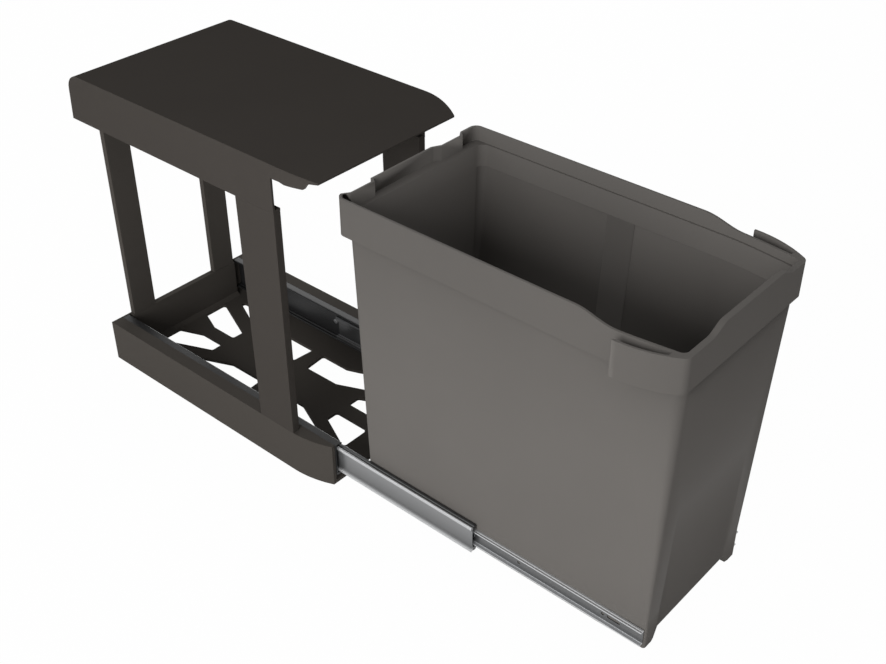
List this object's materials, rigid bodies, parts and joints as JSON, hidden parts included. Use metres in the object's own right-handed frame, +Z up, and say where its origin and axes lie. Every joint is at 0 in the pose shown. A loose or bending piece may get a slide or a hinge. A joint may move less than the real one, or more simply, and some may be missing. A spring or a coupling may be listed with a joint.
{
  "type": "pull out trash cabinet",
  "caption": "Pull-out bin unit for a kitchen cabinet: a lidded frame over a slotted tray, and a tapered bin on full-extension ball-bearing slides.",
  "frame": {"origin": "bottom centre of the tray's rear face, on the cabinet floor, with the bin fully pulled out", "axes": "+X to the unit's right seen from the front, +Y to the back, +Z up; the bin slides out along -Y"},
  "size_m": [0.24, 0.8335, 0.4105],
  "materials": {
    "tray_plastic": "fine matt grain",
    "frame_plastic": "fine matt grain",
    "bin_plastic": "fine matt grain",
    "zinc_steel": "bright zinc plate",
    "black_steel": "black coating",
    "cage_steel": "plain sheet",
    "ball_steel": "polished",
    "screw_steel": "zinc plate"
  },
  "bodies": {
    "frame": {"base_tray": "tray_plastic", "rear_post_left": "tray_plastic", "rear_post_right": "tray_plastic", "front_post_left": "frame_plastic", "front_post_right": "frame_plastic", "lid": "frame_plastic", "outer_rail_left": "black_steel", "outer_rail_right": "black_steel", "outer_screws_left": "screw_steel", "outer_screws_right": "screw_steel"},
    "bin": {"bin": "bin_plastic", "inner_rail_left": "zinc_steel", "inner_rail_right": "zinc_steel", "inner_screws_left": "screw_steel", "inner_screws_right": "screw_steel"},
    "middle_member_left": {"middle_rail_left": "zinc_steel"},
    "outer_cage_left": {"outer_cage_left": "cage_steel", "outer_balls_left": "ball_steel"},
    "inner_cage_left": {"inner_cage_left": "cage_steel", "inner_balls_left": "ball_steel"},
    "middle_member_right": {"middle_rail_right": "zinc_steel"},
    "outer_cage_right": {"outer_cage_right": "cage_steel", "outer_balls_right": "ball_steel"},
    "inner_cage_right": {"inner_cage_right": "cage_steel", "inner_balls_right": "ball_steel"}
  },
  "joints": [
    {"name": "bin_slide", "type": "slide", "parent": "frame", "child": "bin", "axis": [0, 1, 0], "range_m": [0, 0.41]},
    {"name": "middle_member_left_slide", "type": "slide", "parent": "frame", "child": "middle_member_left", "axis": [0, 1, 0], "range_m": [0, 0.205]},
    {"name": "outer_cage_left_slide", "type": "slide", "parent": "frame", "child": "outer_cage_left", "axis": [0, 1, 0], "range_m": [0, 0.1025]},
    {"name": "inner_cage_left_slide", "type": "slide", "parent": "frame", "child": "inner_cage_left", "axis": [0, 1, 0], "range_m": [0, 0.3075]},
    {"name": "middle_member_right_slide", "type": "slide", "parent": "frame", "child": "middle_member_right", "axis": [0, 1, 0], "range_m": [0, 0.205]},
    {"name": "outer_cage_right_slide", "type": "slide", "parent": "frame", "child": "outer_cage_right", "axis": [0, 1, 0], "range_m": [0, 0.1025]},
    {"name": "inner_cage_right_slide", "type": "slide", "parent": "frame", "child": "inner_cage_right", "axis": [0, 1, 0], "range_m": [0, 0.3075]}
  ],
  "couplings": [
    {"joint": "middle_member_left_slide", "follows": "bin_slide", "ratio": 0.5},
    {"joint": "outer_cage_left_slide", "follows": "bin_slide", "ratio": 0.25},
    {"joint": "inner_cage_left_slide", "follows": "bin_slide", "ratio": 0.75},
    {"joint": "middle_member_right_slide", "follows": "bin_slide", "ratio": 0.5},
    {"joint": "outer_cage_right_slide", "follows": "bin_slide", "ratio": 0.25},
    {"joint": "inner_cage_right_slide", "follows": "bin_slide", "ratio": 0.75}
  ]
}
